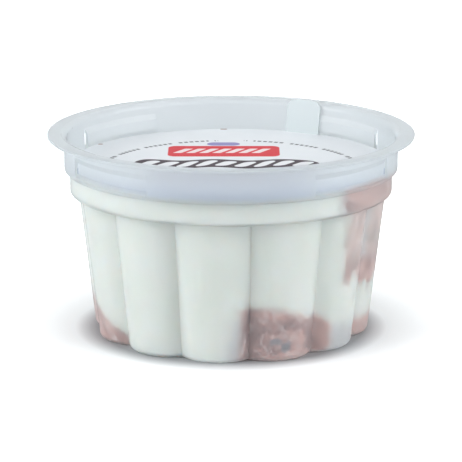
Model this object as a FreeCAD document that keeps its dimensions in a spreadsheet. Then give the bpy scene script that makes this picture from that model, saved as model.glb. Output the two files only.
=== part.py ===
"""Single-serve ice cream cup: a fluted tub of translucent plastic, its lid with a pull tab,
and the two flavours of ice cream that fill it.

Frame: millimetres, +Z up, origin on the table under the middle of the cup. The front of the cup
faces -Y. Angles round the cup are counted from the front, towards +X.
"""
import FreeCAD, Part
import os
import re
import Sketcher

FULL_TURN = 360
FRONT_TO_X_AXIS = 90   # the front of the cup lies this many degrees before the X axis
NEAR = 0.001           # millimetres within which two heights or radii count as the same

doc = FreeCAD.newDocument("IceCreamCup")
sheet = doc.addObject("Spreadsheet::Sheet", "Dimensions")


# ---------------------------------------------------------------------------------------------
# Driving dimensions, millimetres and degrees
# ---------------------------------------------------------------------------------------------
DIMENSIONS = [
    # the whole cup
    ("cup_height", 43.9, "table to the top face of the flange"),
    ("flange_radius", 40.0, "outer edge of the flange"),
    ("wall", 0.6, "thickness of the moulded wall and of the base"),
    # flange round the mouth
    ("flange_width", 3.6, "how far the flange stands out from the upper band"),
    ("flange_thickness", 0.6, "thickness of the flange at its edge"),
    ("flange_bend", 1.3, "radius where the inner wall turns out into the flange"),
    ("flange_edge_round", 0.2, "rounding of the flange's outer edge"),
    # plain upper band, and the lower ring under it
    ("band_height", 7.9, "height of the upper band with the flange"),
    ("ring_height", 4.9, "height of the lower ring"),
    ("ring_step", 1.2, "how far the ring stands in from the band"),
    ("step_round", 0.35, "rounding of the two outside steps"),
    # fluted body: round lobes side by side, each a leaning cone
    ("lobe_count", 12, "number of lobes round the cup"),
    ("lobe_turn", 22.8, "first lobe, degrees from the front"),
    ("lobe_step", 1.4, "how far the crest of a lobe stands in from the ring, at its top"),
    ("lobe_taper", 3.7, "how far the crest of a lobe runs in from the ring down to the table"),
    ("lobe_radius_base", 9.1, "radius of a lobe on the table"),
    ("lobe_radius_top", 11.1, "radius of a lobe at the ring"),
    ("lobe_overrun", 2.0, "length by which a cone is made too long before it is trimmed level"),
    ("base_round", 1.25, "rounding between a lobe and the base"),
    ("foot_width", 13.1, "width of the foot, from the crest of a lobe in to the recess"),
    ("recess_depth", 0.7, "depth of the shallow recess under the base"),
    ("recess_slope", 0.6, "run of the sloping edge of the recess"),
    # four stacking lugs pressed into the upper band
    ("lug_place", 47.3, "middle of a lug, degrees from the front or the back"),
    ("lug_span", 37.0, "length of a lug, degrees round the cup"),
    ("lug_depth", 0.7, "how far a lug is pressed in"),
    ("lug_foot", 0.9, "height of the plain band left under a lug"),
    ("lug_foot_slope", 0.8, "height of the slope at the foot of a lug's outside"),
    ("lug_face", 3.2, "height of a lug's face, over the plain band"),
    ("lug_shoulder", 1.2, "height of the slope over a lug's face"),
    # lid
    ("lid_thickness", 0.4, "thickness of the lid"),
    ("lid_clearance", 0.12, "gap between the lid's edge and the lugs"),
    # pull tab folded up from the lid's edge
    ("tab_place", 151.5, "middle of the tab, degrees from the front"),
    ("tab_width", 8.3, "width of the tab"),
    ("tab_rise", 7.5, "top of the tab above the lid"),
    ("tab_inset", 0.75, "fold of the tab, in from the lid's edge"),
    ("tab_lean", 10.5, "lean of the tab towards the wall, degrees"),
    ("tab_corner", 2.2, "rounding of the tab's two free corners"),
    ("tab_slit", 0.15, "gap at each side of the tab where it was cut from the lid"),
    # ice cream
    ("fill_gap", 0.05, "gap between the ice cream and the wall"),
    # chocolate: a ribbon that rises along the wall at the right
    ("ribbon_place", 63.0, "ribbon, degrees from the front"),
    ("ribbon_foot_in", 11.1, "middle of the ribbon's foot, in from a lobe's crest at the table"),
    ("ribbon_foot_radius", 7.0, "radius of the ribbon at its foot"),
    ("ribbon_top_in", 6.2, "middle of the ribbon's top, in from the ring"),
    ("ribbon_top_radius", 11.0, "radius of the ribbon at its top"),
    # and a low pool at the base, heaped in the middle
    ("pool_in", 14.1, "edge of the heap, in from a lobe's crest at the table"),
    ("pool_height", 9.0, "top of the heap over the table"),
]

# Dollops of the pool that reach the wall: place in degrees from the front, middle of the ball in
# from a lobe's crest at the table, depth of that middle under the table, and radius of the ball
DOLLOPS = {
    "front": (19.5, 9.1, 0.5, 13.6),
    "right": (57.0, 8.1, 1.5, 10.2),
    "left": (-74.0, 9.6, 1.0, 13.0),
    "back": (160.0, 9.1, 1.0, 12.5),
}
DOLLOP_SIZES = ("place", "in", "sink", "radius")
for dollop_name, dollop_values in DOLLOPS.items():
    for size_name, size_value in zip(DOLLOP_SIZES, dollop_values):
        dollop_alias = f"dollop_{dollop_name}_{size_name}"
        DIMENSIONS.append((dollop_alias, size_value, f"{size_name} of the {dollop_name} dollop"))

for row, (alias, value, note) in enumerate(DIMENSIONS, start=1):
    sheet.set(f"A{row}", note)
    sheet.set(f"B{row}", str(value))
    sheet.setAlias(f"B{row}", alias)
doc.recompute()


def cells(text):
    """Turn a formula in plain aliases into one that points at the sheet."""
    aliases = "|".join(alias for alias, _, _ in DIMENSIONS)
    return re.sub(rf"\b({aliases})\b", r"Dimensions.\1", text)


def measure(text):
    """Value of a formula in plain aliases."""
    return float(sheet.evalExpression(cells(text)))


def bind(thing, prop, text):
    """Tie a property of a document object to a formula in plain aliases."""
    thing.setExpression(prop, cells(text))


# ---------------------------------------------------------------------------------------------
# Formulas shared by the outside of the cup, its hollow and what fills it
# ---------------------------------------------------------------------------------------------
FLANGE_UNDERSIDE = "(cup_height - flange_thickness)"
BAND_BOTTOM = "(cup_height - band_height)"
RING_BOTTOM = "(cup_height - band_height - ring_height)"
BASE_TOP = "wall"
RING_LEDGE = f"({RING_BOTTOM} + wall)"
LID_LEDGE = f"({BAND_BOTTOM} + wall)"
LID_TOP = f"({LID_LEDGE} + lid_thickness)"
LUG_BOTTOM = f"({BAND_BOTTOM} + lug_foot)"
LUG_TOP = f"({LUG_BOTTOM} + lug_face)"

BAND_RADIUS = "(flange_radius - flange_width)"
RING_RADIUS = f"({BAND_RADIUS} - ring_step)"
CREST_TOP = f"({RING_RADIUS} - lobe_step)"
CREST_BASE = f"({CREST_TOP} - lobe_taper)"
LOBE_CENTRE_TOP = f"({CREST_TOP} - lobe_radius_top)"
LOBE_CENTRE_BASE = f"({CREST_BASE} - lobe_radius_base)"
RECESS_RADIUS = f"({CREST_BASE} - foot_width)"
BAND_INSIDE = f"({BAND_RADIUS} - wall)"
LUG_INSIDE = f"({BAND_INSIDE} - lug_depth)"
LID_RADIUS = f"({LUG_INSIDE} - lid_clearance)"
TAB_FOLD = f"({LID_RADIUS} - tab_inset)"
TAB_LENGTH = "((tab_rise + lid_thickness) / cos(tab_lean * 1deg))"
CLEAR_OUT = "(flange_radius + wall)"


def between(base, top, height):
    """Formula that runs evenly from base, on the table, to top, under the ring."""
    return f"({base} + ({top} - {base}) * {height} / {RING_BOTTOM})"


def lobe_centre(height):
    """Formula for the distance of a lobe's middle from the axis at a height."""
    return between(LOBE_CENTRE_BASE, LOBE_CENTRE_TOP, height)


def lobe_radius(height):
    """Formula for a lobe's radius at a height."""
    return between("lobe_radius_base", "lobe_radius_top", height)


# ---------------------------------------------------------------------------------------------
# Small helpers for bodies, sketches and features
# ---------------------------------------------------------------------------------------------
def origin_feature(body, role):
    """One of a body's own origin planes or axes."""
    return next(item for item in body.Origin.OriginFeatures if item.Role == role)


def new_sketch(body, name, role):
    """Empty sketch on one of the body's origin planes."""
    sketch = body.newObject("Sketcher::SketchObject", name)
    sketch.AttachmentSupport = [(origin_feature(body, role), "")]
    sketch.MapMode = "FlatFace"
    return sketch


def constrain(sketch, kind, first, second, formula):
    """Add one dimension between two points of a sketch and tie it to a formula."""
    value = measure(formula)
    index = sketch.addConstraint(Sketcher.Constraint(kind, *first, *second, value))
    bind(sketch, f"Constraints[{index}]", formula)


def circle_sketch(body, name, radius, height):
    """Level circle round the axis at a height."""
    sketch = new_sketch(body, name, "XY_Plane")
    bind(sketch, "AttachmentOffset.Base.z", height)
    middle = FreeCAD.Vector(0, 0, 0)
    circle = sketch.addGeometry(Part.Circle(middle, FreeCAD.Vector(0, 0, 1), measure(radius)))
    sketch.addConstraint(Sketcher.Constraint("Coincident", circle, 3, -1, 1))
    index = sketch.addConstraint(Sketcher.Constraint("Radius", circle, measure(radius)))
    bind(sketch, f"Constraints[{index}]", radius)
    return sketch


def outline_sketch(body, name, corners, turn="0"):
    """Closed outline of straight lines in the upright plane that stands at angle turn.

    corners lists (distance from the axis, height) as formulas; "0" puts a corner on an axis.
    """
    sketch = new_sketch(body, name, "XZ_Plane")
    sketch.AttachmentOffset = FreeCAD.Placement(
        FreeCAD.Vector(0, 0, 0), FreeCAD.Rotation(FreeCAD.Vector(0, 1, 0), 1))
    bind(sketch, "AttachmentOffset.Rotation.Angle", f"({turn}) * 1deg")
    points = [FreeCAD.Vector(measure(out), measure(height), 0) for out, height in corners]
    for start, end in zip(points, points[1:] + points[:1]):
        sketch.addGeometry(Part.LineSegment(start, end))
    for line in range(len(points)):
        following = (line + 1) % len(points)
        sketch.addConstraint(Sketcher.Constraint("Coincident", line, 2, following, 1))
    for line, (out, height) in enumerate(corners):
        if out == "0":
            sketch.addConstraint(Sketcher.Constraint("PointOnObject", line, 1, -2))
        else:
            constrain(sketch, "DistanceX", (-1, 1), (line, 1), out)
        if height == "0":
            sketch.addConstraint(Sketcher.Constraint("PointOnObject", line, 1, -1))
        else:
            constrain(sketch, "DistanceY", (-1, 1), (line, 1), height)
    return sketch


def turned(body, kind, name, corners):
    """Full turn of an outline about the axis: a Revolution adds it, a Groove cuts it."""
    feature = body.newObject(f"PartDesign::{kind}", name)
    sketch = outline_sketch(body, f"{name}Outline", corners)
    feature.Profile = sketch
    feature.ReferenceAxis = (sketch, ["V_Axis"])
    feature.Angle = FULL_TURN
    return feature


def fillet(body, name, edges, radius):
    """Fillet on listed edges of the body's last feature."""
    last = body.Tip
    feature = body.newObject("PartDesign::Fillet", name)
    feature.Base = (last, edges)
    bind(feature, "Radius", radius)
    doc.recompute()


def rounded(body, name, radius, height, ring_radius=None):
    """Fillet on the level edges at a height; ring_radius picks one circle among them."""
    doc.recompute()
    level = measure(height)
    edges = []
    for number, edge in enumerate(body.Shape.Edges, start=1):
        box = edge.BoundBox
        found = abs(box.ZMin - level) < NEAR and abs(box.ZMax - level) < NEAR
        if ring_radius:
            wanted = measure(ring_radius)
            found = found and abs(getattr(edge.Curve, "Radius", 0) - wanted) < NEAR
        if found:
            edges.append(f"Edge{number}")
    if not edges:
        raise RuntimeError(f"{name}: no edge to round at height {level}")
    fillet(body, name, edges, radius)


# ---------------------------------------------------------------------------------------------
# Forms of the cup: the outside of the wall and the hollow inside it
# ---------------------------------------------------------------------------------------------
def trim(body, name, height, clear):
    """Cut away everything between a height and a clear height beyond it."""
    corners = [("0", height), (CLEAR_OUT, height), (CLEAR_OUT, clear), ("0", clear)]
    turned(body, "Groove", name, corners)


def fluted_body(name, floor, roof, inset, corner_round):
    """Body of leaning cones from floor to roof, each inset from the outside of the wall.

    The cone starts an overrun below the floor and ends one above the roof, and is trimmed level.
    """
    body = doc.addObject("PartDesign::Body", name)
    low = f"({floor} - lobe_overrun)"
    high = f"({roof} + lobe_overrun)"
    azimuth = f"((lobe_turn - {FRONT_TO_X_AXIS}) * 1deg)"
    lean = f"atan(({LOBE_CENTRE_TOP} - {LOBE_CENTRE_BASE}) / {RING_BOTTOM})"
    cone = body.newObject("PartDesign::AdditiveCone", f"{name}Lobe")
    cone.AttachmentSupport = [(origin_feature(body, "XY_Plane"), "")]
    cone.MapMode = "FlatFace"
    cone.AttachmentOffset = FreeCAD.Placement(
        FreeCAD.Vector(0, 0, 0), FreeCAD.Rotation(FreeCAD.Vector(0, 1, 0), 1))
    bind(cone, "Radius1", f"{lobe_radius(low)} - {inset}")
    bind(cone, "Radius2", f"{lobe_radius(high)} - {inset}")
    bind(cone, "Height", f"({high} - {low}) / cos({lean})")
    bind(cone, "AttachmentOffset.Base.x", f"{lobe_centre(low)} * cos({azimuth})")
    bind(cone, "AttachmentOffset.Base.y", f"{lobe_centre(low)} * sin({azimuth})")
    bind(cone, "AttachmentOffset.Base.z", low)
    bind(cone, "AttachmentOffset.Rotation.Axis.x", f"-sin({azimuth})")
    bind(cone, "AttachmentOffset.Rotation.Axis.y", f"cos({azimuth})")
    bind(cone, "AttachmentOffset.Rotation.Angle", lean)
    trim(body, f"{name}Foot", floor, f"({floor} - 2 * lobe_overrun)")
    trim(body, f"{name}Head", roof, f"({roof} + 2 * lobe_overrun)")
    rounded(body, f"{name}LobeRound", corner_round, floor)
    flutes = body.newObject("PartDesign::PolarPattern", f"{name}Flutes")
    flutes.TransformMode = "Whole shape"
    flutes.Axis = (origin_feature(body, "Z_Axis"), [""])
    flutes.Angle = FULL_TURN
    bind(flutes, "Occurrences", "lobe_count")
    body.Tip = flutes
    doc.recompute()
    return body


def press_lugs(body, corners):
    """Cut the four lug outlines out of a body, two each side of the front and the back."""
    places = {
        "FrontRight": "lug_place",
        "FrontLeft": "-lug_place",
        "BackRight": "180 - lug_place",
        "BackLeft": "180 + lug_place",
    }
    for name, place in places.items():
        lug = body.newObject("PartDesign::Groove", f"{body.Name}Lug{name}")
        start = f"{place} - {FRONT_TO_X_AXIS}"
        sketch = outline_sketch(body, f"{lug.Name}Outline", corners, start)
        lug.Profile = sketch
        lug.ReferenceAxis = (sketch, ["V_Axis"])
        lug.Midplane = True
        bind(lug, "Angle", "lug_span")
        doc.recompute()


def outside_form():
    """The cup as if it were solid: lobes, ring, band, flange, recess under the base, lug hollows."""
    body = fluted_body("OutsideForm", "0", RING_BOTTOM, "0", "base_round")
    core = [
        ("0", "0"),
        (LOBE_CENTRE_BASE, "0"),
        (LOBE_CENTRE_TOP, RING_BOTTOM),
        (RING_RADIUS, RING_BOTTOM),
        (RING_RADIUS, BAND_BOTTOM),
        (BAND_RADIUS, BAND_BOTTOM),
        (BAND_RADIUS, FLANGE_UNDERSIDE),
        ("flange_radius", FLANGE_UNDERSIDE),
        ("flange_radius", "cup_height"),
        ("0", "cup_height"),
    ]
    turned(body, "Revolution", "OutsideTurned", core)
    rounded(body, "RingRound", "step_round", RING_BOTTOM, RING_RADIUS)
    rounded(body, "BandRound", "step_round", BAND_BOTTOM, BAND_RADIUS)
    rounded(body, "FlangeTopRound", "flange_edge_round", "cup_height", "flange_radius")
    rounded(body, "FlangeLowRound", "flange_edge_round", FLANGE_UNDERSIDE, "flange_radius")
    rounded(body, "FlangeBend", "flange_bend - wall", FLANGE_UNDERSIDE, BAND_RADIUS)
    recess = [
        ("0", "0"),
        (RECESS_RADIUS, "0"),
        (f"({RECESS_RADIUS} - recess_slope)", "recess_depth"),
        ("0", "recess_depth"),
    ]
    turned(body, "Groove", "BaseRecess", recess)
    hollow = [
        (CLEAR_OUT, LUG_BOTTOM),
        (BAND_RADIUS, LUG_BOTTOM),
        (f"({BAND_RADIUS} - lug_depth)", f"({LUG_BOTTOM} + lug_foot_slope)"),
        (f"({BAND_RADIUS} - lug_depth)", LUG_TOP),
        (BAND_RADIUS, f"({LUG_TOP} + lug_shoulder)"),
        (CLEAR_OUT, f"({LUG_TOP} + lug_shoulder)"),
    ]
    press_lugs(body, hollow)
    return body


def inner_body(name, gap, beyond):
    """Fluted body inside the wall, a gap clear of it, from the floor to the lid's ledge.

    beyond lists the corners of the outline that follow the top of the ring.
    """
    floor = f"({BASE_TOP} + {gap})"
    ledge = f"({RING_LEDGE} + {gap})"
    inset = f"(wall + {gap})"
    body = fluted_body(name, floor, ledge, inset, f"base_round - {inset}")
    core = [
        ("0", floor),
        (lobe_centre(floor), floor),
        (lobe_centre(ledge), ledge),
        (f"({RING_RADIUS} - {inset})", ledge),
        (f"({RING_RADIUS} - {inset})", LID_LEDGE),
    ]
    turned(body, "Revolution", f"{name}Turned", core + beyond)
    raised_floor = [
        ("0", floor),
        (f"({RECESS_RADIUS} + {inset})", floor),
        (f"({RECESS_RADIUS} + {inset} - recess_slope)", f"({floor} + recess_depth)"),
        ("0", f"({floor} + recess_depth)"),
    ]
    turned(body, "Groove", f"{name}RaisedFloor", raised_floor)
    return body


def hollow_form():
    """The space inside the wall: lobes, ring, band and the flare of the flange, less the lugs."""
    band_and_mouth = [
        (BAND_INSIDE, LID_LEDGE),
        (BAND_INSIDE, "cup_height"),
        (CLEAR_OUT, "cup_height"),
        (CLEAR_OUT, "(cup_height + flange_thickness)"),
        ("0", "(cup_height + flange_thickness)"),
    ]
    body = inner_body("HollowForm", "0", band_and_mouth)
    rounded(body, "MouthBend", "flange_bend", "cup_height", BAND_INSIDE)
    lug = [
        (CLEAR_OUT, LID_LEDGE),
        (LUG_INSIDE, LID_LEDGE),
        (LUG_INSIDE, LUG_TOP),
        (BAND_INSIDE, f"({LUG_TOP} + lug_shoulder)"),
        (CLEAR_OUT, f"({LUG_TOP} + lug_shoulder)"),
    ]
    press_lugs(body, lug)
    return body


def fill_form():
    """Both flavours together: everything inside the wall up to the underside of the lid."""
    return inner_body("FillForm", "fill_gap", [("0", LID_LEDGE)])


# ---------------------------------------------------------------------------------------------
# Sub-parts
# ---------------------------------------------------------------------------------------------
def make_cup(outside, hollow):
    """Moulded wall: the outside form less the hollow."""
    cup = doc.addObject("Part::Cut", "Cup")
    cup.Base = outside
    cup.Tool = hollow
    cup.Label = "cup"
    return cup


def make_lid():
    """Flat disc on the inner ledge, with a tab cut from its edge and folded up.

    The body is drawn with the tab at +X, and its Placement turns it to the tab's place.
    """
    body = doc.addObject("PartDesign::Body", "Lid")
    body.Label = "lid"
    disc = body.newObject("PartDesign::Pad", "LidDisc")
    disc.Profile = circle_sketch(body, "LidOutline", LID_RADIUS, LID_LEDGE)
    bind(disc, "Length", "lid_thickness")
    doc.recompute()

    slit = body.newObject("PartDesign::Pocket", "TabSlit")
    cut_corners = [
        (TAB_FOLD, LID_LEDGE),
        (CLEAR_OUT, LID_LEDGE),
        (CLEAR_OUT, LID_TOP),
        (TAB_FOLD, LID_TOP),
    ]
    slit.Profile = outline_sketch(body, "TabSlitOutline", cut_corners)
    slit.SideType = "Symmetric"
    bind(slit, "Length", "tab_width + 2 * tab_slit")
    doc.recompute()

    tab = body.newObject("PartDesign::AdditiveBox", "Tab")
    tab.AttachmentSupport = [(origin_feature(body, "XY_Plane"), "")]
    tab.MapMode = "FlatFace"
    tab.AttachmentOffset = FreeCAD.Placement(
        FreeCAD.Vector(0, 0, 0), FreeCAD.Rotation(FreeCAD.Vector(0, 1, 0), 1))
    bind(tab, "Length", "lid_thickness")
    bind(tab, "Width", "tab_width")
    bind(tab, "Height", TAB_LENGTH)
    bind(tab, "AttachmentOffset.Base.x", f"{TAB_FOLD} - lid_thickness * cos(tab_lean * 1deg)")
    bind(tab, "AttachmentOffset.Base.y", "-tab_width / 2")
    bind(tab, "AttachmentOffset.Base.z", f"{LID_LEDGE} + lid_thickness * sin(tab_lean * 1deg)")
    bind(tab, "AttachmentOffset.Rotation.Angle", "tab_lean * 1deg")
    doc.recompute()
    round_tab(body)
    body.Placement = FreeCAD.Placement(
        FreeCAD.Vector(0, 0, 0), FreeCAD.Rotation(FreeCAD.Vector(0, 0, 1), 1))
    bind(body, "Placement.Rotation.Angle", f"(tab_place - {FRONT_TO_X_AXIS}) * 1deg")
    return body


def round_tab(body):
    """Fillets on the tab: the inside of its fold, then its two free corners."""
    fold = []
    for number, edge in enumerate(body.Shape.Edges, start=1):
        box = edge.BoundBox
        level = abs(box.ZMin - measure(LID_TOP)) < NEAR and abs(box.ZMax - measure(LID_TOP)) < NEAR
        if level and abs(edge.Length - measure("tab_width")) < NEAR:
            if box.XMax < measure(TAB_FOLD) - NEAR:
                fold.append(f"Edge{number}")
    fillet(body, "TabFold", fold, "lid_thickness")
    corners = []
    for number, edge in enumerate(body.Shape.Edges, start=1):
        high = edge.BoundBox.ZMin > measure(f"{LID_TOP} + tab_rise / 2")
        if high and abs(edge.Length - measure("lid_thickness")) < NEAR:
            corners.append(f"Edge{number}")
    fillet(body, "TabCorners", corners, "tab_corner")


def place_out(thing, place, out, height, lean="0deg"):
    """Put a primitive at an angle from the front, a distance from the axis and a height.

    lean tips it outwards, by turning it about the level line across that direction.
    """
    azimuth = f"(({place} - {FRONT_TO_X_AXIS}) * 1deg)"
    thing.Placement = FreeCAD.Placement(
        FreeCAD.Vector(0, 0, 0), FreeCAD.Rotation(FreeCAD.Vector(0, 1, 0), 1))
    bind(thing, "Placement.Base.x", f"{out} * cos({azimuth})")
    bind(thing, "Placement.Base.y", f"{out} * sin({azimuth})")
    bind(thing, "Placement.Base.z", height)
    bind(thing, "Placement.Rotation.Axis.x", f"-sin({azimuth})")
    bind(thing, "Placement.Rotation.Axis.y", f"cos({azimuth})")
    bind(thing, "Placement.Rotation.Angle", lean)


def make_swirl():
    """Outer shape of the chocolate: a leaning ribbon joined to a pool of rounded dollops."""
    ribbon = doc.addObject("Part::Cone", "Ribbon")
    foot_out = f"({CREST_BASE} - ribbon_foot_in)"
    top_out = f"({RING_RADIUS} - ribbon_top_in)"
    reach = f"({top_out} - {foot_out})"
    bind(ribbon, "Radius1", "ribbon_foot_radius")
    bind(ribbon, "Radius2", "ribbon_top_radius")
    bind(ribbon, "Height", f"sqrt({reach}^2 + {LID_LEDGE}^2) + ribbon_top_radius")
    place_out(ribbon, "ribbon_place", foot_out, "0", f"atan({reach} / {LID_LEDGE})")

    heap = doc.addObject("Part::Sphere", "PoolHeap")
    heap_radius = f"({CREST_BASE} - pool_in)"
    bind(heap, "Radius", heap_radius)
    place_out(heap, "0", "0", f"pool_height - {heap_radius}", "90deg")

    pieces = [ribbon, heap]
    for name in DOLLOPS:
        dollop = doc.addObject("Part::Sphere", f"Dollop{name.title()}")
        bind(dollop, "Radius", f"dollop_{name}_radius")
        dollop_out = f"({CREST_BASE} - dollop_{name}_in)"
        place_out(dollop, f"dollop_{name}_place", dollop_out, f"-dollop_{name}_sink", "90deg")
        pieces.append(dollop)
    swirl = doc.addObject("Part::MultiFuse", "Swirl")
    swirl.Shapes = pieces
    return swirl


def make_flavours(fill, swirl):
    """Chocolate is the part of the fill inside the swirl, vanilla is the rest."""
    chocolate = doc.addObject("Part::Common", "Chocolate")
    chocolate.Base = fill
    chocolate.Tool = swirl
    chocolate.Label = "chocolate_ice_cream"
    vanilla = doc.addObject("Part::Cut", "Vanilla")
    vanilla.Base = fill
    vanilla.Tool = swirl
    vanilla.Label = "vanilla_ice_cream"
    return [chocolate, vanilla]


subparts = [make_cup(outside_form(), hollow_form()), make_lid()]
subparts += make_flavours(fill_form(), make_swirl())
doc.recompute()


# ---------------------------------------------------------------------------------------------
# Checks, then one STEP file for each sub-part
# ---------------------------------------------------------------------------------------------
for item in doc.Objects:
    if "Invalid" in item.State or "Error" in item.State:
        raise RuntimeError(f"{item.Name} failed: {item.State}")

os.makedirs("parts", exist_ok=True)
for item in subparts:
    shape = item.Shape
    if shape.isNull() or not shape.isValid() or len(shape.Solids) != 1:
        raise RuntimeError(f"{item.Label}: not one valid solid")
    box = shape.BoundBox
    print(f"{item.Label}: {shape.Volume / 1000:.2f} cm3, "
          f"{box.XLength:.2f} x {box.YLength:.2f} x {box.ZLength:.2f} mm, from z {box.ZMin:.2f}")
    shape.exportStep(f"parts/{item.Label}.step")
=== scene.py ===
# %% [markdown]
# # An ice cream cup, dressed for a render
#
# The object is a single-serve tub of frozen ice cream. A thin wall of milky plastic stands in
# twelve round flutes, and two flavours show through it: vanilla, and chocolate in soft patches.
# A printed lid lies low in the mouth, and its pull tab is folded up at the back.
#
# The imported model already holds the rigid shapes. The plastic cup and the lid keep theirs and
# get new materials. The two flavours are plain solids there, so one swirled piece replaces them.

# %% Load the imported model
import bpy
import numpy as np
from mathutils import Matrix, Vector


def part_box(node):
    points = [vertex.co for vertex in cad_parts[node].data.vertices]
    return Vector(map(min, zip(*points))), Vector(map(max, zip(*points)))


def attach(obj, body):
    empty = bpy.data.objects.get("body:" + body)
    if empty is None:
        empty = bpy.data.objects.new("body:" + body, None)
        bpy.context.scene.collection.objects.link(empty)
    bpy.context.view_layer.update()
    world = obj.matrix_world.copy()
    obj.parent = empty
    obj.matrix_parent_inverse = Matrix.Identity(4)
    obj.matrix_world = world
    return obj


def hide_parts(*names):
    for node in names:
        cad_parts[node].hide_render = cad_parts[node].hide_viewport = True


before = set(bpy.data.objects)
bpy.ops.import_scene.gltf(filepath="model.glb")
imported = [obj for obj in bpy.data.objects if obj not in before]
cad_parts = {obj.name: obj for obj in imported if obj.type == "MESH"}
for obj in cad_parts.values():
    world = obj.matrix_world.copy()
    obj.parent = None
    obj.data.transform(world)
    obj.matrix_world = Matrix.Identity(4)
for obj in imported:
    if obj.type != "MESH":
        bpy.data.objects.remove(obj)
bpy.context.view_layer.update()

MM = 0.001
print("nodes:", sorted(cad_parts))

# %% [markdown]
# ## The view
#
# The cup is seen from a little above, through a long lens, so that its rim is a flat ellipse
# and its sides hardly converge. A camera is an object that looks along its own -Z axis. It
# stands at a distance and a height, and `to_track_quat` turns it to a point on the cup's axis.
# A long focal length far away gives the calm perspective of a product picture.

# %% Camera
CAMERA_HEIGHT = 14.095       # degrees above the horizon
CAMERA_DISTANCE = 0.58167    # metres from the middle of the cup
CAMERA_LENS = 206.2          # millimetres
CAMERA_SENSOR = 36.0         # width in millimetres
CUP_MIDDLE = 0.0223          # height of the middle of the cup, in metres
AIM = Vector((0.0, 0.0, 0.02142))     # what the camera and the lamps look at

height_angle = np.radians(CAMERA_HEIGHT)
camera = bpy.data.objects.new("camera", bpy.data.cameras.new("camera"))
camera.location = (0.0, -CAMERA_DISTANCE * np.cos(height_angle),
                   CUP_MIDDLE + CAMERA_DISTANCE * np.sin(height_angle))
camera.rotation_euler = (AIM - camera.location).to_track_quat("-Z", "Y").to_euler()
camera.data.lens = CAMERA_LENS
camera.data.sensor_width = CAMERA_SENSOR
bpy.context.collection.objects.link(camera)
bpy.context.scene.camera = camera
bpy.context.scene.view_settings.view_transform = "Standard"
print("camera at", [round(value, 4) for value in camera.location])

# %% [markdown]
# ## Colours and nodes
#
# Colours are easiest to name as the six-figure hex values of a paint program. Blender's sockets
# want linear light, so one function converts them. A second small function adds a shader node:
# it sets the node's properties, and each input gets a link if it is given another node or one
# output of a node, or else a plain value. Every material below is built with that one function.

# %% Helpers for materials
def linear(hex_colour):
    """sRGB hex to linear RGBA: v/12.92 below 0.04045, else ((v + 0.055)/1.055) to the 2.4."""
    values = np.array([int(hex_colour[i:i + 2], 16) for i in (1, 3, 5)]) / 255
    light = np.where(values <= 0.04045, values / 12.92, ((values + 0.055) / 1.055) ** 2.4)
    return (*[float(value) for value in light], 1.0)


def add(tree, kind, inputs=None, **properties):
    """Add a node with its properties; returns the node.

    An input is linked if it is given a socket or a node, whose first output is meant, and set
    if it is given a plain value.
    """
    node = tree.nodes.new(kind)
    for name, value in properties.items():
        setattr(node, name, value)
    for key, value in (inputs or {}).items():
        if isinstance(value, bpy.types.Node):
            value = value.outputs[0]
        if isinstance(value, bpy.types.NodeSocket):
            tree.links.new(value, node.inputs[key])
        else:
            node.inputs[key].default_value = value
    return node


def new_material(name):
    """Empty node material; returns it with its tree."""
    material = bpy.data.materials.new(name)
    material.use_nodes = True
    material.node_tree.nodes.clear()
    return material, material.node_tree


def layered(tree, ground, layers):
    """Lay colours one over another: each layer is its share from 0 to 1 and its colour."""
    for share, layer_colour in layers:
        mix = add(tree, "ShaderNodeMix", {"Factor": share, "A": ground, "B": layer_colour},
                  data_type="RGBA")
        ground = mix.outputs["Result"]
    return ground


print("vanilla in linear light:", [round(value, 3) for value in linear("#EAECE3")])

# %% [markdown]
# ## Soft light on a white table
#
# Milky plastic looks right in broad, even light, because a small lamp would put a hard glint on
# every flute. The world gives a pale glow from everywhere. A wide lamp low on each side models
# the flutes, the left one a little stronger, and a weak one overhead opens the recess over the
# lid. Camera, mirror and see-through rays find plain white behind the cup, and all other rays
# find the dimmer glow.

# %% World
GLOW_STRENGTH, WHITE_STRENGTH = 0.5, 1.0
world = bpy.data.worlds.new("studio")
world.use_nodes = True
world.node_tree.nodes.clear()
tree = world.node_tree
path = add(tree, "ShaderNodeLightPath")
seen = add(tree, "ShaderNodeMath", {0: path.outputs["Is Camera Ray"], 1: path.outputs["Is Glossy Ray"]},
           operation="MAXIMUM")
seen = add(tree, "ShaderNodeMath", {0: seen, 1: path.outputs["Is Transmission Ray"]},
           operation="MAXIMUM")
glow = add(tree, "ShaderNodeBackground", {"Color": linear("#F4F7FA"), "Strength": GLOW_STRENGTH})
white = add(tree, "ShaderNodeBackground", {"Color": (1.0, 1.0, 1.0, 1.0), "Strength": WHITE_STRENGTH})
sky = add(tree, "ShaderNodeMixShader", {0: seen, 1: glow, 2: white})
add(tree, "ShaderNodeOutputWorld", {"Surface": sky})
bpy.context.scene.world = world
print("world:", world.name, "with", len(tree.nodes), "nodes")

# %% Lamps
LAMPS = {     # place and width in metres, power in watts
    "side_left": ((-0.62, -0.22, 0.26), 0.5, 4.4),
    "side_right": ((0.62, -0.22, 0.26), 0.5, 3.8),
    "top": ((0.0, 0.05, 0.7), 0.6, 0.4),
}
for lamp_name, (place, width, power) in LAMPS.items():
    lamp = bpy.data.lights.new(lamp_name, "AREA")
    lamp.size = width
    lamp.energy = power
    holder = bpy.data.objects.new(lamp_name, lamp)
    holder.location = place
    holder.rotation_euler = (AIM - Vector(place)).to_track_quat("-Z", "Y").to_euler()
    bpy.context.collection.objects.link(holder)
print("lamps:", list(LAMPS))

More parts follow.
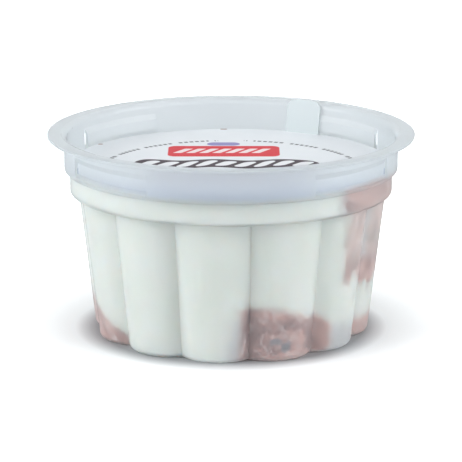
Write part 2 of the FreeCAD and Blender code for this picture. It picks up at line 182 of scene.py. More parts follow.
# %% [markdown]
# ## The table
#
# The table only has to catch the cup's soft shadow. It is a flat square with a white matt
# finish. More lamps could turn it all white, but they would bleach the cup as well. So two
# things are added for camera rays alone, and light nothing. Close round the foot the table is
# greyer with a painted contact shadow, because lamps as wide as these leave almost no dark
# line where the cup stands. And the table gives a light of its own that starts at nothing
# beside the cup and grows with the distance: the wide shadow stays where it matters, and the
# rest turns white.

# %% Table
TABLE_HALF = 2.0                            # metres
# the painted contact shadow is darkest up to the first distance and gone from the second
PAINTED_SHADOW_DARKEST, PAINTED_SHADOW_END = 0.0295, 0.0345        # metres from the cup's axis
SHADOW_REACH, WHITE_FROM = 0.031, 0.075     # metres from the cup's axis
CORNERS = ((-1, -1), (1, -1), (1, 1), (-1, 1))
table = bpy.data.meshes.new("table")
table.from_pydata([(x * TABLE_HALF, y * TABLE_HALF, 0.0) for x, y in CORNERS], [], [(0, 1, 2, 3)])
table_object = bpy.data.objects.new("table", table)
bpy.context.collection.objects.link(table_object)
print("table, metres across:", 2 * TABLE_HALF)

# %% Material of the table
matt_white, tree = new_material("matt_white_table")
path = add(tree, "ShaderNodeLightPath")
place = add(tree, "ShaderNodeTexCoord").outputs["Object"]
from_cup = add(tree, "ShaderNodeVectorMath", {0: place}, operation="LENGTH").outputs["Value"]
plain = add(tree, "ShaderNodeBsdfDiffuse", {"Color": linear("#F2F3F4")})
# painted contact shadow: for camera rays the table is grey close round the foot
out_of_painted_shadow = add(tree, "ShaderNodeMapRange",
                    {"Value": from_cup, "From Min": PAINTED_SHADOW_DARKEST, "From Max": PAINTED_SHADOW_END})
painted_shadow_colour = layered(tree, linear("#A6A7AA"), [(out_of_painted_shadow, linear("#F2F3F4"))])
shaded = add(tree, "ShaderNodeBsdfDiffuse", {"Color": painted_shadow_colour})
far = add(tree, "ShaderNodeMapRange",
          {"Value": from_cup, "From Min": SHADOW_REACH, "From Max": WHITE_FROM})
glimmer = add(tree, "ShaderNodeEmission", {"Color": (1.0, 1.0, 1.0, 1.0), "Strength": far})
seen_table = add(tree, "ShaderNodeAddShader", {0: shaded, 1: glimmer})
surface = add(tree, "ShaderNodeMixShader", {0: path.outputs["Is Camera Ray"], 1: plain, 2: seen_table})
add(tree, "ShaderNodeOutputMaterial", {"Surface": surface})
table.materials.append(matt_white)
print("table finish:", matt_white.name)

# %% [markdown]
# ## The form of the ice cream
#
# The filling takes the shape of the wall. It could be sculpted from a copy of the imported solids,
# but seen from above the wall is a ring of twelve round lobes, so its outline is one formula,
# and an even mesh over it is simple to colour. In a direction that is turned by an angle p from
# the nearest lobe's middle, a circle of radius r whose middle is c away from the axis is reached
# at c cos p + sqrt(r^2 - c^2 sin^2 p). Lobe and crease are then exact, and the whole outline is
# worked out as one numpy array. The filling reaches a tenth of a millimetre into the plastic,
# because a film of air between the two would show as a dark gap.

# %% Sizes of the filling
LOBES = 12
FIRST_LOBE = np.radians(22.8)                   # middle of the first lobe, from the front
FLUTE_HEIGHT = 31.1 * MM                        # table to the underside of the ring
CREST_BASE, CREST_TOP = 30.1 * MM, 33.8 * MM    # axis to a lobe's crest, at the table and the ring
LOBE_BASE, LOBE_TOP = 9.1 * MM, 11.1 * MM       # a lobe's own radius, at the table and the ring
FOOT_ROUND = 1.25 * MM                          # rounding of the wall's foot
RECESS_RADIUS = 17.0 * MM                       # shallow recess under the base
RECESS_DEPTH, RECESS_SLOPE = 0.7 * MM, 0.6 * MM      # its depth, and how far its side runs in
WALL = 0.6 * MM
INTO_WALL = 0.1 * MM                            # how far the filling reaches into the plastic
INTO_LID = 0.02 * MM                            # and into the lid
SOLID_GAP = 0.05 * MM                           # from the packed ice cream to the wall
inset = WALL - INTO_WALL

ring_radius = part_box("vanilla_ice_cream")[1].x + SOLID_GAP + INTO_WALL
lid_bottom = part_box("lid")[0].z
fill_top = lid_bottom + INTO_LID
print("ring inside, mm:", round(ring_radius / MM, 2), " top, mm:", round(fill_top / MM, 2))

# %% [markdown]
# A filling has no parts, so it is one closed skin: a stack of rings from the middle of the base,
# out to the wall, up the flutes, over the ledge, up the ring and in again over the top. Turning
# one profile round the axis would lose the lobes, so every ring is worked out on its own. Each
# is a row of the same number of points, so that neighbours join by four-sided faces.

# %% Helpers for the skin
def lobed_reach(turn, height, shrink):
    """Distance from the axis to the lobes: c cos p + sqrt(r^2 - c^2 sin^2 p).

    turn is the direction, height the level, and shrink is taken off each lobe's radius.
    """
    share = height / FLUTE_HEIGHT
    radius = LOBE_BASE + (LOBE_TOP - LOBE_BASE) * share
    middle = CREST_BASE + (CREST_TOP - CREST_BASE) * share - radius
    pitch = 2 * np.pi / LOBES
    off = (turn - FIRST_LOBE + pitch / 2) % pitch - pitch / 2
    return middle * np.cos(off) + np.sqrt((radius - shrink) ** 2 - (middle * np.sin(off)) ** 2)


def closed_skin(name, rings):
    """Mesh over a stack of rings of points, shaped (rings, points, 3), with both ends closed.

    Point j of a ring joins point j + 1, and the same two of the next ring. A middle point with a
    fan of triangles closes each end.
    """
    levels, around = rings.shape[:2]
    index = np.arange(levels * around).reshape(levels, around)
    low, high = index[:-1], index[1:]
    sides = np.stack([low, np.roll(low, -1, 1), np.roll(high, -1, 1), high], axis=-1).reshape(-1, 4)
    first, last = levels * around, levels * around + 1
    bottom = np.stack([np.full(around, first), np.roll(index[0], -1), index[0]], axis=-1)
    top = np.stack([np.full(around, last), index[-1], np.roll(index[-1], -1)], axis=-1)
    points = np.concatenate([rings.reshape(-1, 3), rings[[0, -1]].mean(axis=1)])
    mesh = bpy.data.meshes.new(name)
    mesh.from_pydata(points.tolist(), [], sides.tolist() + bottom.tolist() + top.tolist())
    mesh.polygons.foreach_set("use_smooth", np.ones(len(mesh.polygons), dtype=bool))
    piece = bpy.data.objects.new(name, mesh)
    bpy.context.collection.objects.link(piece)
    return piece


print("reach on a crest and in a crease, mm:",
      np.round(lobed_reach(FIRST_LOBE + np.array([0, np.pi / LOBES]), 0.0, 0.0) / MM, 2))

# %% Rings of the base and the foot
POINTS_ROUND = 600
BASE_SHARES = np.array([0.3, 0.6, 0.9, 1.0])    # places of the rings over the recess
FLAT_RINGS, FOOT_RINGS = 8, 9
turn = FIRST_LOBE + np.pi / LOBES + np.arange(POINTS_ROUND) * 2 * np.pi / POINTS_ROUND
floor = inset                                   # lowest level of the filling
foot = FOOT_ROUND - inset                       # rounding of the filling's own foot

# 0 * turn is added to a value that is the same all round, to repeat it for every direction.
base_out = BASE_SHARES[:, None] * (RECESS_RADIUS + inset - RECESS_SLOPE) + 0 * turn
base_up = np.full(base_out.shape, floor + RECESS_DEPTH)

edge = lobed_reach(turn, floor, inset + foot)
share = np.linspace(0, 1, FLAT_RINGS)[:, None]
flat_out = (RECESS_RADIUS + inset) * (1 - share) + edge * share
flat_up = np.full(flat_out.shape, floor)

bend = np.linspace(0, np.pi / 2, FOOT_RINGS)[1:, None]
foot_up = floor + foot * (1 - np.cos(bend)) + 0 * turn
foot_out = lobed_reach(turn, foot_up, inset + foot * (1 - np.sin(bend)))
print("rings under the wall:", len(base_out) + len(flat_out) + len(foot_out))

# %% Rings of the wall and the top
WALL_RINGS, LEDGE_RINGS, UPPER_RINGS = 84, 4, 14
TOP_SHARES = np.array([0.97, 0.85, 0.6, 0.3])   # places of the rings over the top
ledge_level = FLUTE_HEIGHT + inset

wall_up = np.linspace(floor + foot, ledge_level, WALL_RINGS)[1:, None] + 0 * turn
wall_out = lobed_reach(turn, wall_up, inset)

share = np.linspace(0, 1, LEDGE_RINGS)[1:, None]
ledge_out = wall_out[-1] * (1 - share) + ring_radius * share
ledge_up = np.full(ledge_out.shape, ledge_level)

ring_up = np.linspace(ledge_level, fill_top, UPPER_RINGS)[1:, None] + 0 * turn
ring_out = np.full(ring_up.shape, ring_radius)

top_out = ring_radius * TOP_SHARES[:, None] + 0 * turn
top_up = np.full(top_out.shape, fill_top)

out = np.concatenate([base_out, flat_out, foot_out, wall_out, ledge_out, ring_out, top_out])
up = np.concatenate([base_up, flat_up, foot_up, wall_up, ledge_up, ring_up, top_up])
rings = np.stack([out * np.sin(turn), -out * np.cos(turn), up], axis=-1)
ice_cream = closed_skin("swirled_ice_cream", rings)
print("swirled_ice_cream:", len(ice_cream.data.polygons), "faces")

# %% [markdown]
# ## Where the chocolate lies
#
# The machine fills the cup with both flavours at once, so chocolate touches the wall in a few
# soft patches: a pool at the foot and one ribbon that rises to the lid. They could be lumps of
# their own, but the two flavours share one smooth skin and blend at their edge, so colour alone
# tells them apart. A patch is a rounded box on the unrolled wall. Its field counts millimetres:
# positive inside, zero on its edge and negative outside, so that the larger of two fields joins
# two patches. The coordinates are bent by slow waves first, because nothing that flowed has a
# straight edge. Each point of the mesh stores the field, and the material turns it into colour,
# with finer noise on its edge.

# %% Helpers for patches
AROUND = 30.0                # millimetres of wall for each radian, at the cup's mean radius
BELOW, ABOVE = -8.0, 60.0    # levels off the cup, for an edge that never shows


def patch(degrees, level, left, right, low, high, corner):
    """Millimetres inside a rounded box on the unrolled wall.

    With q = |offset from the box's middle| - half its size + corner, in both directions, the
    field is corner - length of max(q, 0) - min(larger q, 0).
    """
    mid, half = (left + right) / 2, (right - left) / 2
    side = (degrees - mid + 180) % 360 - 180
    across = np.abs(np.radians(side)) * AROUND - np.radians(half) * AROUND + corner
    along = np.abs(level - (low + high) / 2) - (high - low) / 2 + corner
    outside = np.hypot(np.maximum(across, 0), np.maximum(along, 0))
    return corner - outside - np.minimum(np.maximum(across, along), 0)


def wave(along, rise, pace, phase=0.0):
    """Slow wave: rise times the sine of pace times the place plus the phase.

    Where the place is an angle round the cup, the pace is a whole number, so that the wave
    meets its own start.
    """
    return rise * np.sin(pace * along + phase)


def on_wall(points):
    """Angle from the front in radians, and level in millimetres, for points in metres."""
    x, y, z = (points / MM).T
    return np.arctan2(x, -y), z


print("degrees for each millimetre of wall:", round(float(np.degrees(1 / AROUND)), 2))

# %% Field of the chocolate
# A patch is its left and right edge in degrees from the front, its lower and upper edge in
# millimetres above the table, and the radius of its corners in millimetres.
FRONT = (3.2, 46.0, BELOW, 12.2, 2.0)
RIGHT_FOOT = (67.5, 112.0, BELOW, 4.6, 1.0)
LEFT_FOOT = (-104.0, -51.0, BELOW, 2.6, 0.6)
BACK_FOOT = (138.0, 182.0, BELOW, 10.5, 3.0)
IN_RING = (43.5, 90.0, 30.6, ABOVE, 1.2)
LEFT_TAIL = (48.8, 65.0, 15.6, 40.0, 1.0)
RIGHT_TAIL = (66.0, 86.0, 12.4, 40.0, 2.0)
PALE_STREAK = (68.6, 72.4, 18.0, 29.8, 1.2)
POOL_RADIUS, POOL_TOP = 15.5, 1.5                               # millimetres
POOL_SLOPE = 9.0                            # millimetres inwards for each one above its top
STEPS_AT, STEPS_DOWN = (12, 30, 38, 47), (0, 2.7, 2.7, 6.7)     # degrees, millimetres
RISE_AT, RISE = (-67, -53), (4.62, 0)                           # degrees, millimetres
LEAN_AT, LEAN_OUT = (12, 20), (2.4, 0)                          # millimetres, degrees
STREAK_TOP, STREAK_LEAN = 28, 0.2                               # millimetres, degrees for one


def chocolate_field(points):
    """Millimetres inside the chocolate, for an array of points in metres.

    The pool at the foot and the ribbon are the larger of several patches. Where the ribbon
    splits, a pale streak is taken out of it: the smaller of a field and minus another one.
    """
    angle, z = on_wall(points)
    degrees = np.degrees(angle) + wave(z, 0.5, 0.55, 1.0) + wave(z, 0.4, 1.9)
    level = z + wave(angle, 0.35, 11, 0.6) + wave(angle, 0.25, 29, 2.0)

    # The front patch steps down to the right, and the one at the left foot rises to the left.
    stepping = level + np.interp(degrees, STEPS_AT, STEPS_DOWN)
    rising = level - np.interp(degrees, RISE_AT, RISE)
    feet = [patch(degrees, stepping, *FRONT), patch(degrees, level, *RIGHT_FOOT),
            patch(degrees, rising, *LEFT_FOOT), patch(degrees, level, *BACK_FOOT)]
    from_axis = np.hypot(points[:, 0], points[:, 1]) / MM
    pool = POOL_RADIUS - from_axis - np.maximum(z - POOL_TOP, 0) * POOL_SLOPE

    # The ribbon ends in two ragged tails, and the right one leans out at its lower end.
    ragged = level + wave(angle, 1.1, 43, 0.5) + wave(angle, 0.6, 97)
    leaning_out = degrees - np.interp(z, LEAN_AT, LEAN_OUT)
    tails = np.maximum(patch(degrees, ragged, *LEFT_TAIL), patch(leaning_out, ragged, *RIGHT_TAIL))
    pale_streak = patch(degrees + STREAK_LEAN * (STREAK_TOP - z), level, *PALE_STREAK)
    ribbon = np.maximum(patch(degrees, level, *IN_RING), np.minimum(tails, -pale_streak))
    return np.max([*feet, pool, ribbon], axis=0)


# %% Fields of the thin places and of the frost
THIN_PATCHES = [
    (45.0, 68.0, BELOW, 5.6, 1.5),        # at the foot, right of the front patch
    (42.5, 47.0, 30.0, ABOVE, 1.5),       # left edge of the ribbon in the ring
    (63.0, 72.0, 15.0, 30.0, 2.0),        # between the ribbon's tails
    (-1.5, 6.0, BELOW, 10.0, 2.0),        # left edge of the front patch
    (178.0, 200.0, BELOW, 7.0, 2.0),      # beside the patch at the back
]
FROST_SPOTS = [
    (15.8, 20.8, 3.7, 5.3, 0.5),          # two in the front patch
    (20.8, 25.2, 2.1, 4.4, 0.5),
    (150.0, 155.0, 3.0, 4.4, 0.5),        # one at the back
]


def thin_field(points):
    """Millimetres inside the places where a thin layer of vanilla lies over chocolate."""
    angle, z = on_wall(points)
    degrees = np.degrees(angle) + wave(z, 1.0, 0.6)
    level = z + wave(angle, 0.4, 13, 1.1)
    return np.max([patch(degrees, level, *place) for place in THIN_PATCHES], axis=0)


def frost_field(points):
    """Millimetres inside the small grey spots where ice crystals lie in the chocolate."""
    angle, z = on_wall(points)
    return np.max([patch(np.degrees(angle), z, *place) for place in FROST_SPOTS], axis=0)


print("thin places:", len(THIN_PATCHES), " frosted spots:", len(FROST_SPOTS))

# %% [markdown]
# Chocolate that mixed with vanilla is paler than what lies in the pool. Painted shade makes it
# darker in a crease, where less light comes out again, and painted light makes it paler towards
# the sides. Both could be brushed on by hand as vertex colours.
# Two more fields do it instead, so that the change is smooth and lies along the creases.

# %% Strength and shade of the brown
RICH_AT, RICHNESS = (15, 21, 28, 32), (1.0, 0.64, 0.64, 0.92)     # millimetres, share
# painted shade along the creases, and painted light that makes both sides paler
PAINTED_CREASE_SHADES = [(7.8, 2.3, 0.8), (40.0, 3.5, 0.05)]                    # degrees, width, how much darker
PAINTED_LIGHT_RIGHT, PAINTED_LIGHT_LEFT = 0.38, 0.28
SIDE_FROM, SIDE_OVER = 44, 6       # degrees off the front where a side begins, and builds up
LEFT_END, END_OVER = -120, 10      # degrees where the left side ends, and fades
MID_LEVEL, MID_REACH = 20, 10      # millimetres: the right side is as rich as elsewhere there


def richness(points):
    """How strong the brown is: full in the pool, weaker in the ribbon, where flavours mixed."""
    return np.interp(points[:, 2] / MM, RICH_AT, RICHNESS)


def painted_shade_and_light(points):
    """Painted shade on the brown: most by the first crease, and painted light, less than nothing, at the
    sides.

    A crease is a bell curve, exp(-((degrees - middle) / width)^2). The right side is paler at
    the ring and at the foot, and not near the middle level. The left side is paler all over.
    """
    angle, z = on_wall(points)
    degrees = np.degrees(angle)
    darker = sum(much * np.exp(-((degrees - middle) / width) ** 2) for middle, width, much in PAINTED_CREASE_SHADES)
    right_side = np.clip((degrees - SIDE_FROM) / SIDE_OVER, 0, 1)
    off_middle = np.clip(np.abs(z - MID_LEVEL) / MID_REACH, 0, 1)
    left_side = np.clip((-SIDE_FROM - degrees) / SIDE_OVER, 0, 1)
    before_end = np.clip((degrees - LEFT_END) / END_OVER, 0, 1)
    return darker - PAINTED_LIGHT_RIGHT * right_side * off_middle - PAINTED_LIGHT_LEFT * left_side * before_end


# %% Store the fields on the points
points = np.empty(len(ice_cream.data.vertices) * 3)
ice_cream.data.vertices.foreach_get("co", points)
points = points.reshape(-1, 3)
FIELDS = {"chocolate": chocolate_field, "thin": thin_field, "frost": frost_field,
          "richness": richness, "painted_shade_and_light": painted_shade_and_light}
for field_name, field in FIELDS.items():
    attribute = ice_cream.data.attributes.new(field_name, "FLOAT", "POINT")
    attribute.data.foreach_set("value", field(points).astype(np.float32))
print("share of points in chocolate:", round(float((chocolate_field(points) > 0).mean()), 3))

# %% [markdown]
# ## Frozen ice cream
#
# Ice cream is foam of frozen milk: matt, pale, with light that travels a few millimetres under
# its surface. Vanilla is a cool off-white, and milk chocolate behind milky plastic is a dusty
# rose brown rather than a red one. Painted by hand it would need an image, and noise gives the
# same unevenness at any size. Noise of two grain sizes pushes the stored fields about, for
# folds and for their ragged edge, and a smooth step then turns millimetres into a share of
# chocolate. The brown itself drifts between two tones, and thin pale veins run through it,
# where a noise passes its middle value.

# %% Grain of the ice cream
# Ice crystals are finer in fact, but half a millimetre is the least that shows.
GRAIN = {"fold": 3.5, "ragged": 0.9, "drift": 4.2, "vein": 3.2, "crystal": 0.5}     # millimetres
FOLD_PUSH, RAGGED_PUSH = 1.6, 1.4       # millimetres, from the least to the most
PUSH_MIDDLE = RAGGED_PUSH / 2           # a noise is 0.5 on average, and folds push both ways
TALLER = (1.0, 1.0, 0.6)                # a scale under 1 stretches the veins upwards

frozen, tree = new_material("frozen_ice_cream")
place = add(tree, "ShaderNodeTexCoord").outputs["Object"]
upright = add(tree, "ShaderNodeMapping", {"Vector": place, "Scale": TALLER})
grain = {}
for grain_name, size in GRAIN.items():
    grain[grain_name] = add(tree, "ShaderNodeTexNoise", {
        "Vector": upright if grain_name == "vein" else place,
        "Scale": 1 / (size * MM),
        "Detail": 1.0 if grain_name == "fold" else 2.0,
        "Distortion": 0.9 if grain_name == "vein" else 0.4,
    })
push = add(tree, "ShaderNodeMath", {0: grain["fold"], 1: FOLD_PUSH, 2: -FOLD_PUSH / 2},
           operation="MULTIPLY_ADD")
push = add(tree, "ShaderNodeMath", {0: grain["ragged"], 1: RAGGED_PUSH, 2: push},
           operation="MULTIPLY_ADD")


def share_of(field_name, width):
    """Share from 0 to 1 of what a stored field stands for, with the noise on its edge."""
    stored = add(tree, "ShaderNodeAttribute", attribute_name=field_name)
    moved = add(tree, "ShaderNodeMath", {0: stored.outputs["Fac"], 1: push}, operation="ADD")
    return add(tree, "ShaderNodeMapRange",
               {"Value": moved, "From Min": PUSH_MIDDLE - width, "From Max": PUSH_MIDDLE + width},
               interpolation_type="SMOOTHSTEP")


print("grains, mm:", GRAIN)

# %% Material of the ice cream
SOFT_EDGE, THIN_EDGE, FROST_EDGE = 1.3, 2.0, 0.5     # half widths of the edges, millimetres
VEIN_WIDTH, VEIN_SHARE = 0.035, 0.75                 # of the noise, and of the vein's colour

strength = add(tree, "ShaderNodeAttribute", attribute_name="richness").outputs["Fac"]
chocolate = add(tree, "ShaderNodeMath", {0: share_of("chocolate", SOFT_EDGE), 1: strength},
                operation="MULTIPLY")
off_middle = add(tree, "ShaderNodeMath", {0: grain["vein"], 1: 0.5}, operation="SUBTRACT")
ridge = add(tree, "ShaderNodeMath", {0: off_middle}, operation="ABSOLUTE")
vein = add(tree, "ShaderNodeMapRange",
           {"Value": ridge, "From Min": VEIN_WIDTH, "From Max": 0.0, "To Max": VEIN_SHARE})
# the painted shade takes the brown away from its lighter tone, and the painted light at the sides adds to
# it
darker = add(tree, "ShaderNodeAttribute", attribute_name="painted_shade_and_light").outputs["Fac"]
drift = add(tree, "ShaderNodeMapRange", {"Value": grain["drift"], "From Min": 0.4, "From Max": 0.6})
tone_less_painted_shade = add(tree, "ShaderNodeMath", {0: drift, 1: darker}, operation="SUBTRACT", use_clamp=True)

cream = layered(tree, linear("#EAECE3"), [
    (drift, linear("#F1F1EB")),
    (share_of("thin", THIN_EDGE), linear("#D2D0D0")),
])
brown = layered(tree, linear("#966560"), [
    (tone_less_painted_shade, linear("#CE9F95")),
    (vein, linear("#E6D5D1")),
    (share_of("frost", FROST_EDGE), linear("#83818A")),
])
colour = layered(tree, cream, [(chocolate, brown)])
bump = add(tree, "ShaderNodeBump", {"Height": grain["crystal"], "Strength": 0.25, "Distance": 0.1 * MM})
surface = add(tree, "ShaderNodeBsdfPrincipled", {
    "Base Color": colour,
    "Roughness": 0.62,
    "IOR": 1.33,
    "Subsurface Weight": 0.8,
    "Subsurface Radius": (1.0, 0.85, 0.75),
    "Subsurface Scale": 3.0 * MM,
    "Normal": bump,
})
add(tree, "ShaderNodeOutputMaterial", {"Surface": surface})
ice_cream.data.materials.append(frozen)
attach(ice_cream, "root")
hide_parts("vanilla_ice_cream", "chocolate_ice_cream")
print("materials so far:", [material.name for material in bpy.data.materials])

# %% [markdown]
# ## Natural polypropylene
#
# The tub is injection moulded from polypropylene without a pigment. Such plastic is clear but
# milky: a thin wall lets most of the light through and spreads it, and it shines softly, like
# satin. Subsurface scattering could give the milkiness, but the wall would hide all that is
# behind it. Transmission with some roughness gives both. The base colour is a cold near-white,
# and fine noise in the roughness stands for the texture of the mould's steel.

# %% Material of the cup
MOULD_TEXTURE = 0.8    # millimetres: coarser than on the real mould, so that it shows
plastic, tree = new_material("natural_polypropylene")
place = add(tree, "ShaderNodeTexCoord").outputs["Object"]
skin = add(tree, "ShaderNodeTexNoise", {"Vector": place, "Scale": 1 / (MOULD_TEXTURE * MM), "Detail": 2.0})
rough = add(tree, "ShaderNodeMapRange", {"Value": skin, "To Min": 0.4, "To Max": 0.5})
surface = add(tree, "ShaderNodeBsdfPrincipled", {
    "Base Color": linear("#EEF4F7"),
    "Roughness": rough,
    "IOR": 1.49,
    "Transmission Weight": 0.86,
})
add(tree, "ShaderNodeOutputMaterial", {"Surface": surface})
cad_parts["cup"].material_slots[0].material = plastic
print("cup wall:", plastic.name)

# %% [markdown]
# ## The printed lid
#
# The lid is white film over board, printed flat. All of the print is made of simple shapes on
# the lid's own plane: a red bar with a row of pale blocks, a blue-violet oval above it, a dark
# wavy band with a pale twist, a blue field with cream and brown waves in the front half, a blue
# crescent along the front edge, and arcs of short dashes round the edge. The crescent is part
# print and part painted shade: seen through the front wall, it darkens the band as the shadowed
# gap behind it does. Two tiny smears of chocolate lie near the rim. It could all be an image
# laid over the lid, but shapes in the material stay sharp at any distance.
#
# A shape is a distance in millimetres that is negative inside, and a narrow smooth step makes
# ink of it. Where shapes repeat, the coordinate along them is wrapped, so that one shape draws
# the whole row. The pull tab has no print: it is the film alone, made a little greyer by painted
# shade, because it stands up into the light of the side lamps.

# %% Helpers for printed shapes
printed, tree = new_material("printed_lid_film")
place = add(tree, "ShaderNodeTexCoord").outputs["Object"]
in_mm = add(tree, "ShaderNodeMapping", {"Vector": place, "Scale": (1 / MM, 1 / MM, 0.0)})
INK_EDGE = 0.12        # half the width over which ink fades out, in millimetres
SQUARE = 0.1           # corner radius of a shape with square corners, in millimetres
LEAN = 0.6             # how far a leaning shape moves along for each step up


def rounded_bar(points, middle, half, corner, within=1.0):
    """Ink of a bar, only where the shape `within` has ink too.

    The distance is the length of max(|p - middle| - half + corner, 0), less the corner. It is
    negative inside, and a smooth step turns it into a share of ink.
    """
    straight = (half[0] - corner, half[1] - corner, 0.0)
    offset = add(tree, "ShaderNodeVectorMath", {0: points, 1: (*middle, 0.0)}, operation="SUBTRACT")
    size = add(tree, "ShaderNodeVectorMath", {0: offset}, operation="ABSOLUTE")
    over = add(tree, "ShaderNodeVectorMath", {0: size, 1: straight}, operation="SUBTRACT")
    over = add(tree, "ShaderNodeVectorMath", {0: over, 1: (0.0, 0.0, 0.0)}, operation="MAXIMUM")
    reach = add(tree, "ShaderNodeVectorMath", {0: over}, operation="LENGTH").outputs["Value"]
    distance = add(tree, "ShaderNodeMath", {0: reach, 1: corner}, operation="SUBTRACT")
    return add(tree, "ShaderNodeMapRange",
               {"Value": distance, "From Min": INK_EDGE, "From Max": -INK_EDGE, "To Max": within},
               interpolation_type="SMOOTHSTEP")


def row_of(points, pitch):
    """The same points with x wrapped to one pitch, so that a shape in it repeats along x."""
    parts = add(tree, "ShaderNodeSeparateXYZ", {0: points})
    wrapped = add(tree, "ShaderNodeMath", {0: parts, 1: pitch / 2, 2: -pitch / 2}, operation="WRAP")
    return add(tree, "ShaderNodeCombineXYZ", {0: wrapped, 1: parts.outputs[1]})


def leaning(points):
    """The same points with x moved back by LEAN times y, so that a shape drawn in it leans."""
    parts = add(tree, "ShaderNodeSeparateXYZ", {0: points})
    moved = add(tree, "ShaderNodeMath", {0: parts.outputs[1], 1: -LEAN, 2: parts}, operation="MULTIPLY_ADD")
    return add(tree, "ShaderNodeCombineXYZ", {0: moved, 1: parts.outputs[1]})


print("width of an ink edge, mm:", 2 * INK_EDGE)

# %% [markdown]
# A shape on a circle is drawn on the circle unrolled: the angle times the radius runs along it,
# and the distance from the middle less the radius runs across. Dashes along an arc are then a
# row of small bars, gathered into groups by a second, wider row.

# %% Helpers for shapes round a circle
DASH_PITCH, DASH_HALF = 1.3, (0.42, 0.5)       # millimetres
GROUP_PITCH, GROUP_HALF = 8.8, (3.7, 1.0)


def unrolled(middle, radius):
    """Points as (millimetres along a circle from its top, millimetres outside it)."""
    offset = add(tree, "ShaderNodeVectorMath", {0: in_mm, 1: (*middle, 0.0)}, operation="SUBTRACT")
    parts = add(tree, "ShaderNodeSeparateXYZ", {0: offset})
    turn_of = add(tree, "ShaderNodeMath", {0: parts, 1: parts.outputs[1]}, operation="ARCTAN2")
    along = add(tree, "ShaderNodeMath", {0: turn_of, 1: radius}, operation="MULTIPLY")
    reach = add(tree, "ShaderNodeVectorMath", {0: offset}, operation="LENGTH").outputs["Value"]
    across = add(tree, "ShaderNodeMath", {0: reach, 1: radius}, operation="SUBTRACT")
    return add(tree, "ShaderNodeCombineXYZ", {0: along, 1: across})


def dashed_arcs(middle, radius, first, last):
    """Ink of grouped dashes on both sides of a circle, from first to last degrees off its top."""
    band = unrolled(middle, radius)
    dashes = rounded_bar(row_of(band, DASH_PITCH), (0.0, 0.0), DASH_HALF, SQUARE)
    groups = rounded_bar(row_of(band, GROUP_PITCH), (0.0, 0.0), GROUP_HALF, SQUARE, within=dashes)
    start, end = np.radians([first, last]) * radius
    both_sides = add(tree, "ShaderNodeVectorMath", {0: band}, operation="ABSOLUTE")
    return rounded_bar(both_sides, ((start + end) / 2, 0.0), ((end - start) / 2, GROUP_HALF[1]), SQUARE,
                       within=groups)


print("dashes on an arc: one every", DASH_PITCH, "mm")

# %% Shapes of the lid's print
TAB_FROM = lid_bottom + 0.5 * MM             # anything higher than this is the folded tab
WAVE_RISE, WAVE_TURN = 0.7, 0.42             # millimetres, and radians for each millimetre
WAVE_HALF, WAVE_LEVELS = (40.0, 1.1), (-12.9, -16.8, -20.7)
TWIST_PITCH, BLOCK_PITCH = 4.2, 2.9          # millimetres from one shape to the next
SMEARS_AT, SMEAR_HALF = ((-1.7, 34.4), (-29.6, 18.2)), (0.8, 0.35)

# These points have y lifted by a sine of x, so that a straight bar drawn in them is wavy.
axes = add(tree, "ShaderNodeSeparateXYZ", {0: in_mm})
swing = add(tree, "ShaderNodeMath", {0: axes, 1: WAVE_TURN}, operation="MULTIPLY")
swing = add(tree, "ShaderNodeMath", {0: swing}, operation="SINE")
lifted = add(tree, "ShaderNodeMath", {0: swing, 1: WAVE_RISE, 2: axes.outputs[1]},
             operation="MULTIPLY_ADD")
waved = add(tree, "ShaderNodeCombineXYZ", {0: axes, 1: lifted})

# Each bar has its middle, half its size and its corner radius, in millimetres on the lid.
# part print, part painted shade for the shadowed gap seen through the front band
crescent_print_and_shade = rounded_bar(unrolled((0.0, 8.0), 36.0), (0.0, 10.0), (200.0, 10.0), SQUARE)
blue_field = rounded_bar(in_mm, (0.0, -16.8), (19.5, 7.6), 7.2)
field_waves = [rounded_bar(waved, (0.0, level), WAVE_HALF, SQUARE, within=blue_field)
               for level in WAVE_LEVELS]
dark_band = rounded_bar(waved, (-0.9, -1.9), (20.2, 3.9), 3.4)
twist_part = rounded_bar(leaning(waved), (0.0, -1.9), (18.7, 9.0), SQUARE)
twist = rounded_bar(row_of(leaning(waved), TWIST_PITCH), (0.0, -1.8), (1.4, 2.6), 1.35, within=twist_part)
oval = rounded_bar(in_mm, (-1.7, 18.3), (3.7, 1.7), 1.7)
red_bar = rounded_bar(in_mm, (-1.6, 10.8), (12.4, 5.4), 1.8)
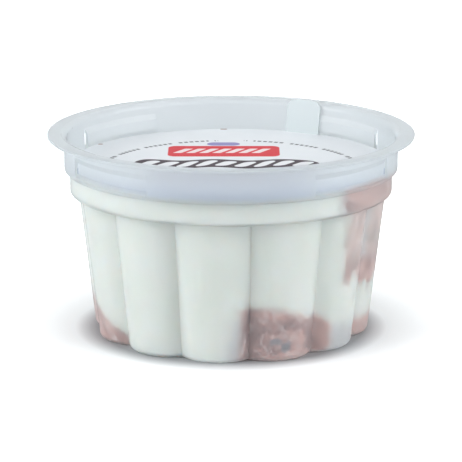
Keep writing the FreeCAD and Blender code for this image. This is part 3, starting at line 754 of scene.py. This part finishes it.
block_part = rounded_bar(leaning(in_mm), (-8.7, 11.2), (10.1, 3.0), SQUARE)
blocks = rounded_bar(row_of(leaning(in_mm), BLOCK_PITCH), (0.0, 11.2), (0.95, 2.2), 0.3, within=block_part)
back_dashes = dashed_arcs((0.0, -6.0), 28.0, 6.0, 76.0)
front_dashes = dashed_arcs((0.0, 0.0), 28.5, 100.0, 134.0)
smears = [rounded_bar(in_mm, middle, SMEAR_HALF, SMEAR_HALF[1]) for middle in SMEARS_AT]
height = add(tree, "ShaderNodeSeparateXYZ", {0: place}).outputs[2]
# painted shade on the folded tab: everything above TAB_FROM
tab_painted_shade = add(tree, "ShaderNodeMath", {0: height, 1: TAB_FROM}, operation="GREATER_THAN")
print("waves in the blue field:", len(field_waves), " smears of ice cream:", len(smears))

# %% Material of the lid
FILM_GRAIN = 8.0       # millimetres: faint clouds in the white
film = add(tree, "ShaderNodeTexNoise", {"Vector": in_mm, "Scale": 1 / FILM_GRAIN, "Detail": 2.0})
colour = layered(tree, linear("#E3E8EC"), [
    (film, linear("#ECEFF2")),
    (crescent_print_and_shade, linear("#96A3C0")),
    (blue_field, linear("#7F92BE")),
    (field_waves[0], linear("#EFE8DA")),
    (field_waves[1], linear("#7A5549")),
    (field_waves[2], linear("#EFE8DA")),
    (dark_band, linear("#33242F")),
    (twist, linear("#ECEEF1")),
    (oval, linear("#8F8CBE")),
    (red_bar, linear("#D22A36")),
    (blocks, linear("#F3E4E4")),
    (back_dashes, linear("#4A4C52")),
    (front_dashes, linear("#4A4C52")),
    (smears[0], linear("#8D5B4C")),
    (smears[1], linear("#8D5B4C")),
    # painted shade: the upright tab is greyer, to take down the light it catches from the side lamps
    (tab_painted_shade, linear("#CBD4D6")),
])
surface = add(tree, "ShaderNodeBsdfPrincipled", {
    "Base Color": colour,
    "Roughness": 0.5,
    "IOR": 1.5,
    "Specular IOR Level": 0.25,
})
add(tree, "ShaderNodeOutputMaterial", {"Surface": surface})
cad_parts["lid"].material_slots[0].material = printed
print("lid:", printed.name)
